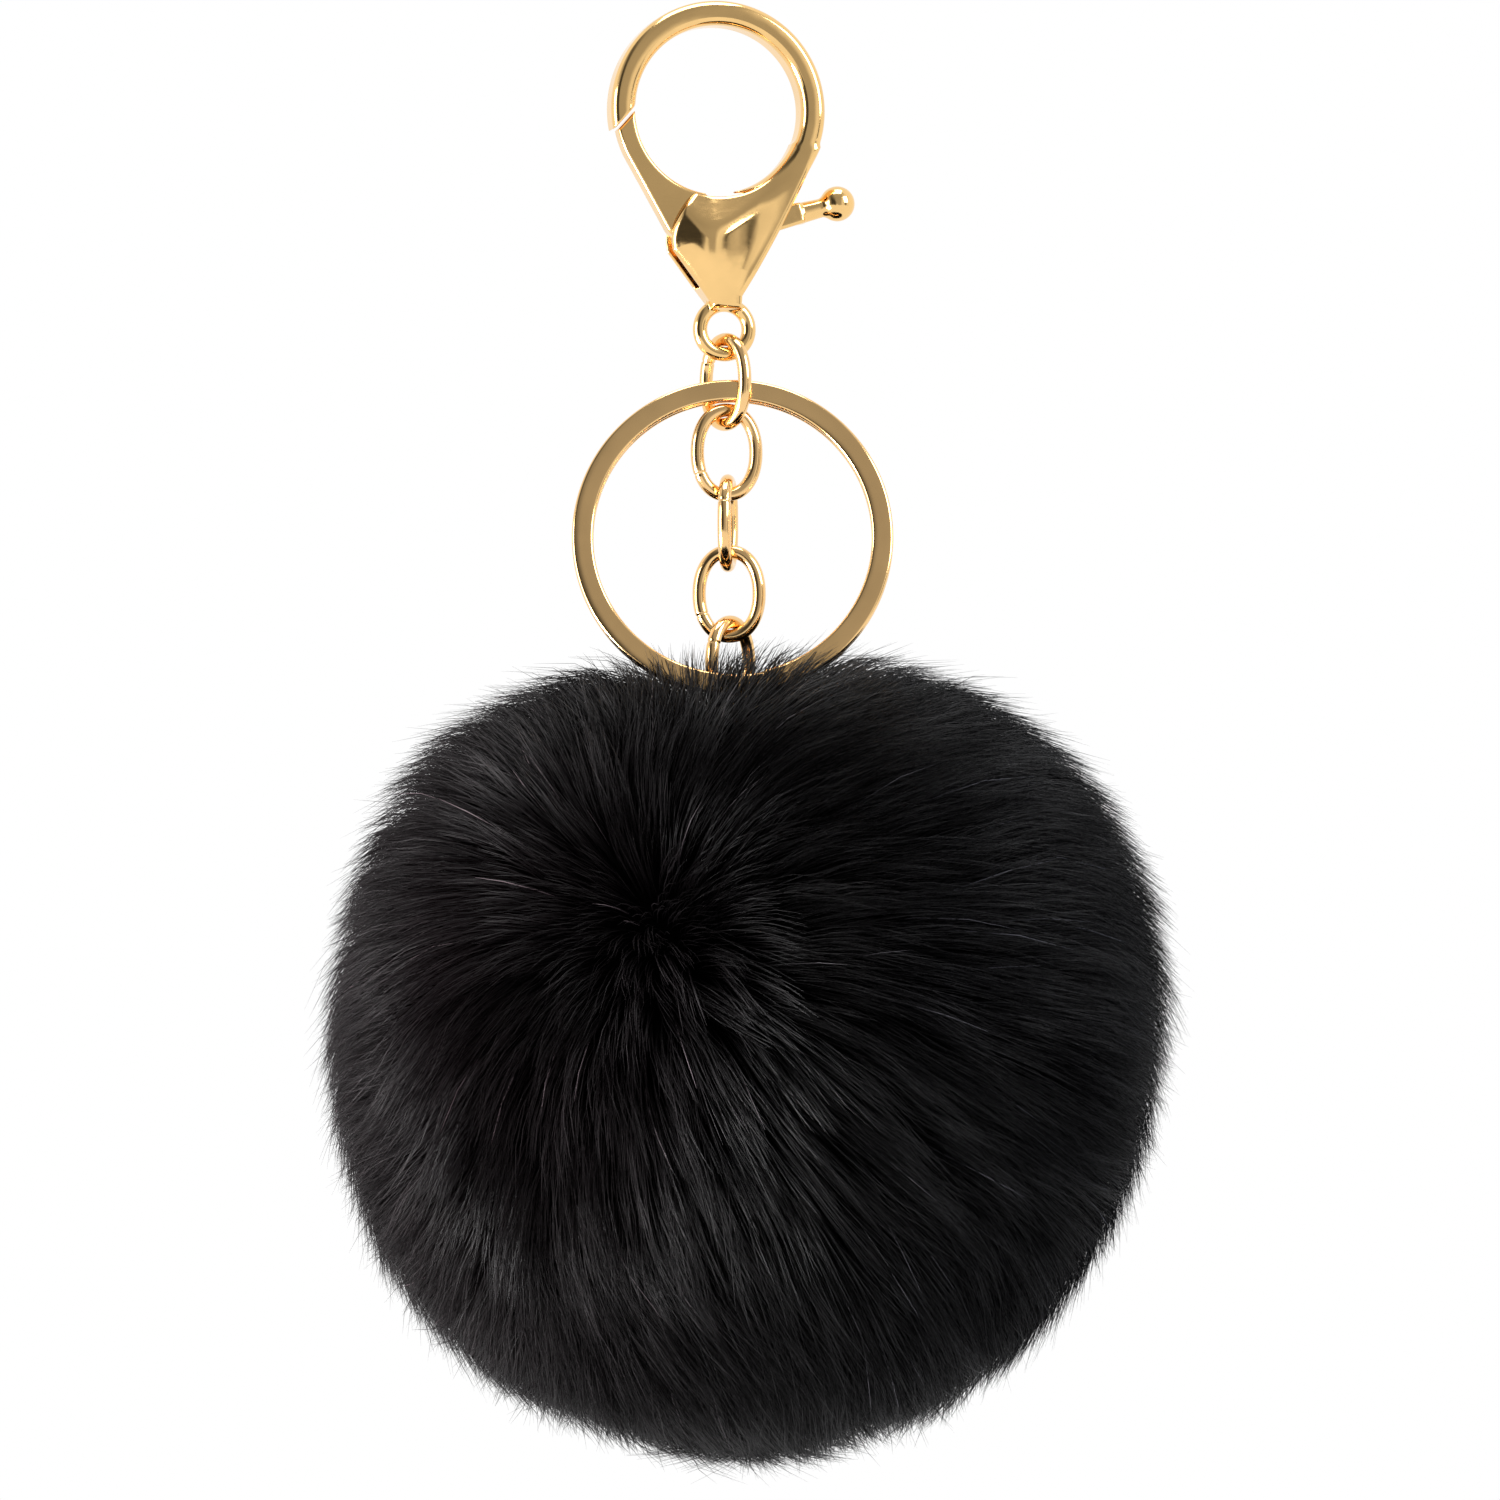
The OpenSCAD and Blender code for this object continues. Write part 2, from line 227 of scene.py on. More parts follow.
def sweep(path, section, ups, closed):
    """Points and faces of a section carried along a path. It is [up, sideways] at each path point."""
    path = np.asarray(path, float)
    if closed:
        ahead = np.roll(path, -1, 0) - np.roll(path, 1, 0)
    else:
        ahead = np.gradient(path, axis=0)
    ahead /= np.linalg.norm(ahead, axis=1, keepdims=True)
    ups = ups - ahead * np.sum(ups * ahead, 1, keepdims=True)
    ups /= np.linalg.norm(ups, axis=1, keepdims=True)
    across = np.cross(ahead, ups)
    points = path[:, None] + section[..., :1] * ups[:, None] + section[..., 1:] * across[:, None]
    n, m = points.shape[:2]
    i = np.arange(n if closed else n - 1)[:, None]
    k = np.arange(m)[None]
    a, b = i * m, (i + 1) % n * m
    faces = np.stack([a + k, b + k, b + (k + 1) % m, a + (k + 1) % m], -1).reshape(-1, 4).tolist()
    if not closed:
        faces += [list(range(m)), list(range(n * m - 1, (n - 1) * m - 1, -1))]
    return points.reshape(-1, 3), faces


def closed_faces(rows, cols):
    """Faces of a mesh whose rows of points close round, with one point more at either end."""
    first, last, end = rows * cols, rows * cols + 1, (rows - 1) * cols
    after = [(k + 1) % cols for k in range(cols)]
    faces = [
        [i * cols + k, (i + 1) * cols + k, (i + 1) * cols + after[k], i * cols + after[k]]
        for i in range(rows - 1)
        for k in range(cols)
    ]
    faces += [[first, k, after[k]] for k in range(cols)]
    faces += [[last, end + after[k], end + k] for k in range(cols)]
    return faces


def outward(obj):
    """Turns a closed mesh's faces outward."""
    work = bmesh.new()
    work.from_mesh(obj.data)
    bmesh.ops.recalc_face_normals(work, faces=work.faces)
    if work.calc_volume(signed=True) < 0:
        bmesh.ops.reverse_faces(work, faces=work.faces)
    work.to_mesh(obj.data)
    work.free()
    return obj


# ---------------------------------------------------------------- castings as distance fields
def joined(a, b, k):
    """The solid of both fields, blended over k."""
    h = np.clip(0.5 + 0.5 * (b - a) / k, 0, 1)
    return b + (a - b) * h - k * h * (1 - h)


def without(a, b, k=0.0):
    """Field a with field b cut away, its new edge rounded by k."""
    return np.maximum(a, -b) if k == 0 else -joined(-a, b, k)


def rounded(a, b, r):
    """The solid where both a and b are below 0, with its edge rounded."""
    return np.minimum(np.maximum(a + r, b + r), 0) + np.hypot(np.maximum(a + r, 0), np.maximum(b + r, 0)) - r


def inside_outline(x, z, points):
    """Distance to a closed outline, below 0 inside."""
    points = np.asarray(points, float)
    shape = np.broadcast(x, z).shape
    best, odd = np.full(shape, 1e9), np.zeros(shape, bool)
    for (ax, az), (bx, bz) in zip(points, np.roll(points, -1, 0)):
        ex, ez = bx - ax, bz - az
        t = np.clip(((x - ax) * ex + (z - az) * ez) / (ex * ex + ez * ez), 0, 1)
        best = np.minimum(best, (x - ax - t * ex) ** 2 + (z - az - t * ez) ** 2)
        if ez:
            odd ^= ((az <= z) != (bz <= z)) & (x < ax + (z - az) * ex / ez)
    return np.where(odd, -1, 1) * np.sqrt(best)


def bend(a, b, c, n=14):
    """Points along a smooth bend from a to c that leans towards b."""
    t = np.linspace(0, 1, n + 1)[:, None]
    a, b, c = (np.array(p, float) for p in (a, b, c))
    return ((1 - t) ** 2 * a + 2 * t * (1 - t) * b + t * t * c).tolist()


CORNERS = np.array([[i, j, k] for i in (0, 1) for j in (0, 1) for k in (0, 1)])
EDGES = [
    (a, b) for a in range(8) for b in range(a + 1, 8) if np.abs(CORNERS[a] - CORNERS[b]).sum() == 1
]


def cast(name, field, low, high, step, material):
    """A closed mesh on the surface where the field is 0."""
    low = np.asarray(low, float)
    count = [int((h - l) / step) + 2 for l, h in zip(low, high)]
    x, y, z = (low[k] + step * np.arange(count[k]) for k in range(3))
    sampled = field(x[:, None, None], y[None, :, None], z[None, None, :])
    value = np.broadcast_to(sampled, count).astype(np.float32)
    inner = value < 0
    cells = tuple(n - 1 for n in count)
    total = sum(
        inner[i : i + cells[0], j : j + cells[1], k : k + cells[2]].astype(np.int8) for i, j, k in CORNERS
    )
    mixed = (total > 0) & (total < 8)
    where = np.argwhere(mixed)
    number = np.full(cells, -1, np.int64)
    number[mixed] = np.arange(len(where))
    corner = np.stack([value[tuple((where + c).T)] for c in CORNERS], 1)
    place, hits = np.zeros((len(where), 3)), np.zeros((len(where), 1))
    for a, b in EDGES:
        va, vb = corner[:, a], corner[:, b]
        crossed = (va < 0) != (vb < 0)
        t = np.where(crossed, va / np.where(crossed, va - vb, 1), 0)[:, None]
        place += crossed[:, None] * (CORNERS[a] + t * (CORNERS[b] - CORNERS[a]))
        hits += crossed[:, None]
    points = low + step * (where + place / hits)
    faces = []
    for axis in range(3):
        u, v = (axis + 1) % 3, (axis + 2) % 3
        first = np.take(inner, range(count[axis] - 1), axis)
        change = first != np.take(inner, range(1, count[axis]), axis)
        at = np.argwhere(change)
        at = at[(at[:, u] > 0) & (at[:, v] > 0) & (at[:, u] < cells[u]) & (at[:, v] < cells[v])]
        flip = first[tuple(at.T)]
        ring = []
        for du, dv in ((-1, -1), (0, -1), (0, 0), (-1, 0)):
            shift = np.zeros(3, int)
            shift[u], shift[v] = du, dv
            ring.append(number[tuple((at + shift).T)])
        quad = np.stack(ring, 1)
        quad[~flip] = quad[~flip][:, ::-1]
        faces.append(quad)
    eps = step * 0.2
    for _ in range(2):
        here = field(*points.T)
        slope = np.stack([field(*(points + eps * np.eye(3)[k]).T) - here for k in range(3)], 1) / eps
        move = -here[:, None] * slope / np.maximum((slope**2).sum(1, keepdims=True), 0.25)
        points = points + np.clip(move, -0.5 * step, 0.5 * step)
    return outward(new_object(name, points, np.concatenate(faces).tolist(), material))


def beyond_cut(x, z):
    """Above 0 on the hook's side of the slanted cut between hook and gate."""
    return (x - TIP[0]) * -math.sin(TIP_LEAN) + (z - TIP[1]) * math.cos(TIP_LEAN)


BODY_OUTLINE = (
    bend((HOOK_OUT_R * 0.9438, HOOK_OUT_R * -0.3305), (6.3, -10.9), (2.3, -17.4))
    + [[2.25, -18.6], [-0.65, -18.6]]
    + bend((-0.7, -18.2), (-2.6, -15.6), (-4.4, -13.2), 6)
    + bend((-4.4, -13.0), (-5.0, -10.8), (-2.2, -7.55))
    + [[0, -5.9], [5.9, -3.0]]
)
SLOT = [
    *[(-9, -6.2), (0.8, -6.2), (1.8, -7.5), (13.2, -6.0)],
    *[(13.2, -14.9), (2.65, -14.2), (2.45, -16.6), (-9, -16.6)],
]


def body_field(x, y, z):
    """The clasp's casting: hook, crowned shells with the gate's slot between them, and eye."""
    rho, deep = np.hypot(x, z), np.abs(y)
    taper = np.clip((z + 9.0) / 7.0, 0, 1)
    rounding = 0.16 * np.clip(np.abs(rho - HOOK_MID_R), 0, 1.2) ** 2
    hook_half = 0.7 + (HOOK_DEPTH / 2 - 0.7) * taper * taper * (3 - 2 * taper) - rounding
    hook = rounded(np.abs(rho - HOOK_MID_R) - HOOK_W / 2, deep - hook_half, 0.65)
    hook = np.where(x < -2.5, without(hook, beyond_cut(x, z), 0.15), np.maximum(hook, -z - 7.5))
    edge = inside_outline(x, z, BODY_OUTLINE)
    inward = np.clip(-edge / 2.2, 0, 1)
    crown = (x + 0.8 - 0.02 * (z + 13.5) ** 2) / 3.6
    half = 3.25 - 0.0165 * (z + 9) ** 2 - 2.1 * (1 - 1 / (1 + crown**2)) - 0.25 * (1 - inward) ** 2
    half = -joined(-half, -1.75 + 0.1 * np.maximum(-15 - z, 0), 0.3)
    half = joined(half, 1.2 + 0.56 * (rho - OPENING_R), 0.6)
    shell = rounded(np.maximum(edge, OPENING_R - rho), deep - half, 0.45)
    slot = np.maximum(inside_outline(x, z, SLOT), deep - GATE_T / 2 - SLOT_GAP)
    shell = without(shell, slot, 0.14)
    eye = np.hypot(np.hypot(x - EYE_AT[0], z - EYE_AT[1]) - EYE_R, y) - EYE_WIRE / 2
    whole = joined(joined(hook, shell, 0.7), eye, 0.3)
    rivet = np.maximum(np.hypot(x - PIVOT[0], z - PIVOT[1]) - RIVET_R, deep - RIVET_HALF)
    return np.maximum(whole, -rivet)


LEVER_OUT = (BALL_AT[0] - 3.6 * math.cos(LEVER_RISE), BALL_AT[1] - 3.6 * math.sin(LEVER_RISE))
GATE_OUT_R = HOOK_OUT_R - 0.5


def gate_field(x, y, z):
    """The gate: arc, arm, hub, heel on the spring, and the lever that ends in a ball."""
    rho, deep = np.hypot(x, z), np.abs(y)
    side = (GATE_OUT_R * math.cos(math.radians(207)), GATE_OUT_R * math.sin(math.radians(207)))
    px, pz = PIVOT
    arc = np.maximum(rho - GATE_OUT_R, side[1] - 1.2 - z)
    arc = np.maximum(arc, x + 1.0)
    flank = [side, (-4.7, pz + 0.2), (-3.0, pz - 1.8), (px, pz - 2.2)]
    arm = inside_outline(x, z, flank + [(px + 2, pz + 1.2), (-1.6, 0.5 - OPENING_R), (-6, side[1])])
    hub = np.hypot(x - px, z - pz) - 2.2
    heel = inside_outline(x, z, [(px, HEEL_Z), (2.4, HEEL_Z), (3.1, pz - 0.6), (px, pz)])
    s, c = 0.95 * math.sin(LEVER_RISE), 0.95 * math.cos(LEVER_RISE)
    lever_end = [(LEVER_OUT[0] - s, LEVER_OUT[1] + c), (LEVER_OUT[0] + s, LEVER_OUT[1] - c)]
    lever = inside_outline(x, z, [(px + 0.3, pz + 2.1), *lever_end, (px + 0.9, pz - 1.4)])
    flat = np.minimum(np.minimum(np.minimum(arc, arm), np.minimum(hub, heel)), lever)
    flat = np.maximum(np.maximum(flat, OPENING_R - rho), beyond_cut(x, z) + 0.35)
    plate = rounded(flat, deep - GATE_T / 2, 0.32)
    ux, uz = math.cos(LEVER_RISE), math.sin(LEVER_RISE)
    along = np.clip((x - LEVER_OUT[0]) * ux + (z - LEVER_OUT[1]) * uz, -0.2, 3.4)
    off_axis = (x - LEVER_OUT[0] - along * ux) ** 2 + (z - LEVER_OUT[1] - along * uz) ** 2 + y * y
    stub = np.sqrt(off_axis) - (0.98 - 0.05 * along)
    ball = np.sqrt((x - BALL_AT[0]) ** 2 + y * y + (z - BALL_AT[1]) ** 2) - BALL_R
    whole = joined(joined(plate, stub, 0.25), ball, 0.35)
    return np.maximum(whole, GATE_BORE_R - np.hypot(x - px, z - pz))


def make_clasp():
    """The two castings, and the wire spring under the gate's heel."""
    step = 0.115
    body = cast("clasp_casting", body_field, (-10.8, -3.3, -23.8), (10.8, 3.3, 10.6), step, GOLD_CAST)
    finish_piece(body, "clasp", ["clasp_body"])
    gate = cast("gate_casting", gate_field, (-10.2, -2.0, -14.4), (13.6, 2.0, 1.4), step, GOLD_CAST)
    finish_piece(gate, "gate", ["gate_lever"])
    turns, sides, coil, wire = 4, 10, 0.7, 0.16
    a = np.linspace(0, 2 * math.pi * turns, 24 * turns + 1)
    low, high = FLOOR_Z + 0.19, HEEL_Z - 0.19
    path = np.stack([SPRING_AT[0] + coil * np.cos(a), coil * np.sin(a), low + (high - low) * a / a[-1]], 1)
    k = np.arange(sides) * 2 * math.pi / sides
    section = np.broadcast_to(wire * np.stack([np.cos(k), np.sin(k)], 1), (len(path), sides, 2))
    points, faces = sweep(path, section, np.tile([0.0, 0, 1], (len(path), 1)), False)
    spring = outward(new_object("return_spring", points, faces, STEEL))
    finish_piece(spring, "clasp", ["gate_spring"])
    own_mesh(spring)


# ---------------------------------------------------------------- links and ring
def make_link(i):
    """An oval wire link whose two ends meet in a butt seam."""
    bar = (LINK_W - LINK_WIRE) / 2
    drop = (LINK_L - LINK_WIRE) / 2
    steps, sides, squareness = 180, 24, 0.93
    a = np.linspace(0, 2 * math.pi, steps, endpoint=False)
    x = bar * np.sign(np.cos(a)) * np.abs(np.cos(a)) ** squareness
    z = drop * np.sign(np.sin(a)) * np.abs(np.sin(a)) ** squareness
    path = np.stack([x, np.zeros(steps), z - drop], 1)
    seam = math.radians(208 if i % 2 else 152)
    gap = np.exp(-(((a - seam + math.pi) % (2 * math.pi) - math.pi) / 0.022) ** 2)
    r = LINK_WIRE / 2 * (1 - 0.16 * gap)
    k = np.arange(sides) * 2 * math.pi / sides
    section = r[:, None, None] * np.stack([np.cos(k), np.sin(k)], 1)[None]
    points, faces = sweep(path, section, np.tile([0.0, 1, 0], (steps, 1)), True)
    hang = [NECK_X + 0.1 + 0.12 * i, 0, LINK_TOP - LINK_PITCH * i]
    points = turned(points, math.radians(LINK_TURNS[i])) + hang
    link = outward(new_object(f"oval_link_{i + 1}", points, faces, GOLD_WIRE))
    finish_piece(link, f"link_{i + 1}", [f"chain_link_{i + 1}"])


def make_ring():
    """A flat wire wound into two turns, which step past each other over a short sector."""
    steps, corner, half = 720, 0.3, 12
    a = np.linspace(math.radians(half), math.radians(720 - half), steps)
    layer = np.clip((np.degrees(a) - 360 + half) / (2 * half), 0, 1)
    layer = layer * layer * (3 - 2 * layer)
    gap = 0.05
    thick = (RING_T - gap) / 2
    offset = (layer - 0.5) * (RING_T + gap) / 2
    a = a - math.radians(90)
    path = np.stack([RING_MID_R * np.cos(a), offset, RING_MID_R * np.sin(a)], 1)
    level_w, level_t = RING_W / 2 - corner, thick / 2 - corner
    profile = []
    for sx, sz, start in ((1, 1, 0), (-1, 1, 90), (-1, -1, 180), (1, -1, 270)):
        for t in np.radians(start + np.array([0, 30, 60, 90])):
            profile.append([sx * level_w + corner * math.cos(t), sz * level_t + corner * math.sin(t)])
    profile = np.array(profile)
    shrink = np.clip(np.minimum(np.arange(steps), np.arange(steps)[::-1]) / 2.0, 0, 1) * 0.12 + 0.88
    section = profile[None] * shrink[:, None, None]
    ups = np.stack([np.cos(a), np.zeros(steps), np.sin(a)], 1)
    points, faces = sweep(path, section, ups, False)
    points = points - [0, 0, RING_MID_R]
    c, s = math.cos(RING_LEAN), math.sin(RING_LEAN)
    x, y, z = points.T
    points = np.stack([x, c * y + s * z, c * z - s * y], 1)
    points = turned(points, RING_TURN) + [RING_AT[0], 0, RING_AT[1]]
    ring = outward(new_object("flat_split_ring", points, faces, GOLD_WIRE))
    finish_piece(ring, "key_ring", ["split_ring"])


# ---------------------------------------------------------------- fur
# Where the pile stands proud of an even ball, as seen from in front:
# direction and spread in degrees, height in mm
BULGES = ((32, 42, 3.9), (90, 17, -1.6), (136, 24, 2.5))
RIGHT = np.array([math.cos(VIEW_TURN), math.sin(VIEW_TURN), 0.0])
FRONT = np.array([math.sin(VIEW_TURN), -math.cos(VIEW_TURN), 0.0])
UP = np.array([0.0, 0, 1])
WHORL = -0.24 * RIGHT + 0.44 * UP + 0.86 * FRONT
WHORL /= np.linalg.norm(WHORL)


def unit(v):
    return v / np.maximum(np.linalg.norm(v, axis=-1, keepdims=True), 1e-9)


def outer_radius(way):
    """How far the pile reaches in each direction from the ball's middle."""
    x, z, f = way @ RIGHT, way @ UP, way @ FRONT
    angle = np.degrees(np.arctan2(z, x)) % 360
    weight = np.clip(1 - f * f, 0, 1) ** 1.5
    proud = np.zeros(way.shape[:-1])
    for middle, spread, height in BULGES:
        apart = (angle - middle + 180) % 360 - 180
        proud += height * np.exp(-((apart / spread) ** 2))
    return PILE_R + proud * weight


def dish(way):
    """How much the pile gives way round the chain at its top: 1 in the middle, 0 outside."""
    tilt = np.degrees(np.arccos(np.clip(way @ UP, -1, 1)))
    return np.clip((13 - tilt) / 7, 0, 1)


def smooth_noise(way, seed, scale):
    """A smooth value from -1 to 1 over the ball."""
    rng = np.random.default_rng(seed)
    total = np.zeros(way.shape[:-1])
    for k in range(7):
        axis = unit(rng.normal(size=3))
        total += np.sin(way @ axis * scale * rng.uniform(0.6, 1.7) + rng.uniform(0, 6.28))
    return total / 3.2


def flow(way):
    """The way the pile lies along the ball: away from the whorl in front, down from the neck behind."""
    f = way @ FRONT
    from_whorl = unit(way * (way @ WHORL)[:, None] - WHORL)
    from_neck = unit(way * way[:, 2:3] - UP)
    mix = np.clip(0.5 + 1.3 * f, 0, 1)[:, None]
    lie = unit(from_whorl * mix + from_neck * (1 - mix) - 0.22 * UP * (1 - way[:, 2:3] ** 2))
    lie = unit(lie - way * np.sum(lie * way, 1, keepdims=True))
    across = np.cross(way, lie)
    turn = 0.35 * smooth_noise(way, 3, 5.0) + 0.2 * smooth_noise(way, 4, 12.0)
    return lie * np.cos(turn)[:, None] + across * np.sin(turn)[:, None]


def scattered(count, rng):
    """Evenly spread directions, each moved a little."""
    i = np.arange(count) + 0.5
    z = 1 - 2 * i / count
    a = i * math.pi * (1 + 5**0.5)
    way = np.stack([np.sqrt(1 - z * z) * np.cos(a), np.sqrt(1 - z * z) * np.sin(a), z], 1)
    return unit(way + rng.normal(size=way.shape) * 0.9 / math.sqrt(count))


def hair_lines(count, points):
    """The middle lines of all hairs, with their half widths and shades."""
    rng = np.random.default_rng(11)
    way = scattered(count, rng)
    locks = scattered(LOCK_COUNT, rng)
    owner = np.concatenate([np.argmax(part @ locks.T, 1) for part in np.array_split(way, 40)])
    lock_lie = flow(locks)
    spin = rng.normal(0, 0.15, len(locks))
    lock_lie = lock_lie * np.cos(spin)[:, None] + np.cross(locks, lock_lie) * np.sin(spin)[:, None]
    lock_reach = rng.normal(0, 0.26, len(locks)) + 0.45 * smooth_noise(locks, 5, 9.0)
    parting = np.clip((np.degrees(np.arccos(np.clip(locks @ WHORL, -1, 1))) - 3) / 32, 0, 1)
    lock_sweep = np.clip(rng.normal(0.30, 0.04, len(locks)), 0.16, 0.46) * (0.2 + 0.8 * parting)
    lock_lie = unit(lock_lie + rng.normal(0, 0.3, lock_lie.shape) * (1 - parting)[:, None])

    lie = unit(0.35 * flow(way) + 0.65 * lock_lie[owner] + rng.normal(0, 0.07, way.shape))
    lie = unit(lie - way * np.sum(lie * way, 1, keepdims=True))
    sweep_angle = lock_sweep[owner] * rng.uniform(0.8, 1.2, count)
    wild = rng.random(count) > STRAY
    sweep_angle = np.where(wild, sweep_angle * 0.7, sweep_angle)
    depth = rng.beta(1.2, 3.0, count) * 6.0
    beyond = np.where(wild, rng.uniform(0.1, 1.5, count), 0)
    reach = outer_radius(unit(way + lie * 0.25)) + lock_reach[owner] - depth + beyond
    reach = reach - dish(way) * 3.0
    root = np.minimum(reach - 5.0, 33.0) + rng.uniform(-1, 1, count)

    t = np.linspace(0, 1, points)
    lines = np.zeros((count, points, 3))
    lock_way = locks[owner]
    gather = rng.uniform(0.03, 0.32, count)
    for k, s in enumerate(t):
        angle = sweep_angle * s**1.15
        here = unit(way * np.cos(angle)[:, None] + lie * np.sin(angle)[:, None])
        lock_angle = lock_sweep[owner] * s**1.15
        there = unit(lock_way * np.cos(lock_angle)[:, None] + lock_lie[owner] * np.sin(lock_angle)[:, None])
        pull = (gather * s**1.2)[:, None]
        here = unit(here * (1 - pull) + there * pull)
        far = root + (reach - root) * (1 - (1 - s) ** 1.4)
        lines[:, k] = BALL_MID + here * far[:, None]
    wave = rng.normal(0, 0.12, (count, 1, 3)) * np.sin(t * math.pi)[None, :, None]
    lines += wave
    lock_shade = rng.random(len(locks))
    shade = np.clip(0.55 * lock_shade[owner] + 0.45 * rng.random(count), 0, 0.92)
    # A few hairs set to 1.0 turn pale in the material: painted glints.
    shade = np.where(rng.random(count) > 0.997, 1.0, shade)
    thick = rng.uniform(0.034, 0.062, count) * np.where(wild, 0.6, 1)
    taper = np.interp(t, (0, 0.35, 0.75, 1), (1.0, 1.0, 0.7, 0.12))
    width = thick[:, None] * taper[None]
    return lines, width, shade, t


def strand_builder():
    """Geometry nodes that turn lines into closed three-sided hairs."""
    group = bpy.data.node_groups.new("hairs_from_lines", "GeometryNodeTree")
    group.interface.new_socket("Geometry", in_out="INPUT", socket_type="NodeSocketGeometry")
    sides = group.interface.new_socket("Sides", in_out="INPUT", socket_type="NodeSocketInt")
    size = group.interface.new_socket("Width", in_out="INPUT", socket_type="NodeSocketFloat")
    group.interface.new_socket("Geometry", in_out="OUTPUT", socket_type="NodeSocketGeometry")
    start, end = group.nodes.new("NodeGroupInput"), group.nodes.new("NodeGroupOutput")
    curve = add(group, "GeometryNodeMeshToCurve", {0: start.outputs["Geometry"]})
    half = add(group, "GeometryNodeInputNamedAttribute", {"Name": "half_width"}, data_type="FLOAT")
    both = {0: half.outputs[0], 1: start.outputs["Width"]}
    scaled = add(group, "ShaderNodeMath", both, operation="MULTIPLY")
    circle = {"Resolution": start.outputs["Sides"], "Radius": 1.0}
    profile = add(group, "GeometryNodeCurvePrimitiveCircle", circle, mode="RADIUS")
    tube = {"Curve": curve.outputs[0], "Profile Curve": profile.outputs[0], "Scale": scaled.outputs[0]}
    solid = add(group, "GeometryNodeCurveToMesh", {**tube, "Fill Caps": True})
    smooth = add(group, "GeometryNodeSetShadeSmooth", {0: solid.outputs[0]})
    plain = add(group, "GeometryNodeRealizeInstances", {0: smooth.outputs[0]})
    dressed = add(group, "GeometryNodeSetMaterial", {"Geometry": plain.outputs[0], "Material": FUR})
    group.links.new(dressed.outputs[0], end.inputs[0])
    return group, sides.identifier, size.identifier


def make_hairs():
    """All hairs as solids, shared out over a few pieces."""
    group, sides, size = strand_builder()
    points = HAIR_POINTS
    lines, width, shade, t = hair_lines(HAIR_COUNT, points)
    for part, chosen in enumerate(np.array_split(np.arange(HAIR_COUNT), HAIR_PIECES)):
        n = len(chosen)
        mesh = bpy.data.meshes.new(f"hair_lines_{part + 1}")
        mesh.vertices.add(n * points)
        mesh.vertices.foreach_set("co", (lines[chosen] * MM).astype(np.float32).ravel())
        first = (np.arange(n)[:, None] * points + np.arange(points - 1)[None]).ravel()
        mesh.edges.add(len(first))
        mesh.edges.foreach_set("vertices", np.stack([first, first + 1], 1).astype(np.int32).ravel())
        shades = np.repeat(shade[chosen][:, None], points, 1)
        layers = {"half_width": width[chosen] * MM, "shade": shades, "along": np.tile(t, (n, 1))}
        for label, values in layers.items():
            layer = mesh.attributes.new(label, "FLOAT", "POINT")
            layer.data.foreach_set("value", values.astype(np.float32).ravel())
        mesh.update()
        source = bpy.data.objects.new(f"pile_source_{part + 1}", mesh)
        bpy.context.scene.collection.objects.link(source)
        modifier = source.modifiers.new("hairs", "NODES")
        modifier.node_group = group
        modifier[sides], modifier[size] = HAIR_SIDES, 1.0
        evaluated = source.evaluated_get(bpy.context.evaluated_depsgraph_get())
        solid = bpy.data.meshes.new_from_object(evaluated)
        bpy.data.objects.remove(source)
        piece = bpy.data.objects.new(f"fur_hairs_{part + 1}", solid)
        bpy.context.scene.collection.objects.link(piece)
        finish_piece(piece, "pompom", ["fur_pile"])


def ball_mesh(name, middle, radius_of, rings, material):
    """A closed ball whose radius depends on the direction."""
    cols = rings * 2
    polar = np.linspace(0, math.pi, rings + 1)[1:-1]
    turn = np.arange(cols) * 2 * math.pi / cols
    off_axis, along_axis = np.sin(polar)[:, None], np.repeat(np.cos(polar)[:, None], cols, 1)
    way = np.stack([off_axis * np.cos(turn), off_axis * np.sin(turn), along_axis], -1).reshape(-1, 3)
    way = np.concatenate([way, [[0, 0, 1], [0, 0, -1]]])
    points = np.asarray(middle) + way * radius_of(way)[:, None]
    return outward(new_object(name, points, closed_faces(rings - 1, cols), material))


def make_core():
    """Lumpy stuffing, pressed flat under the anchor disc."""
    flat = DISC_LOW - HIDE_AT[2]

    def lumps(way):
        ball = HIDE_R - HIDE_T - 0.75 + 0.3 * smooth_noise(way, 21, 7.0) + 0.12 * smooth_noise(way, 22, 23.0)
        return np.minimum(ball, flat / np.maximum(way[:, 2], 0.05))

    core = ball_mesh("stuffing_ball", HIDE_AT, lumps, 72, STUFFING)
    finish_piece(core, "pompom", ["core_ball"])


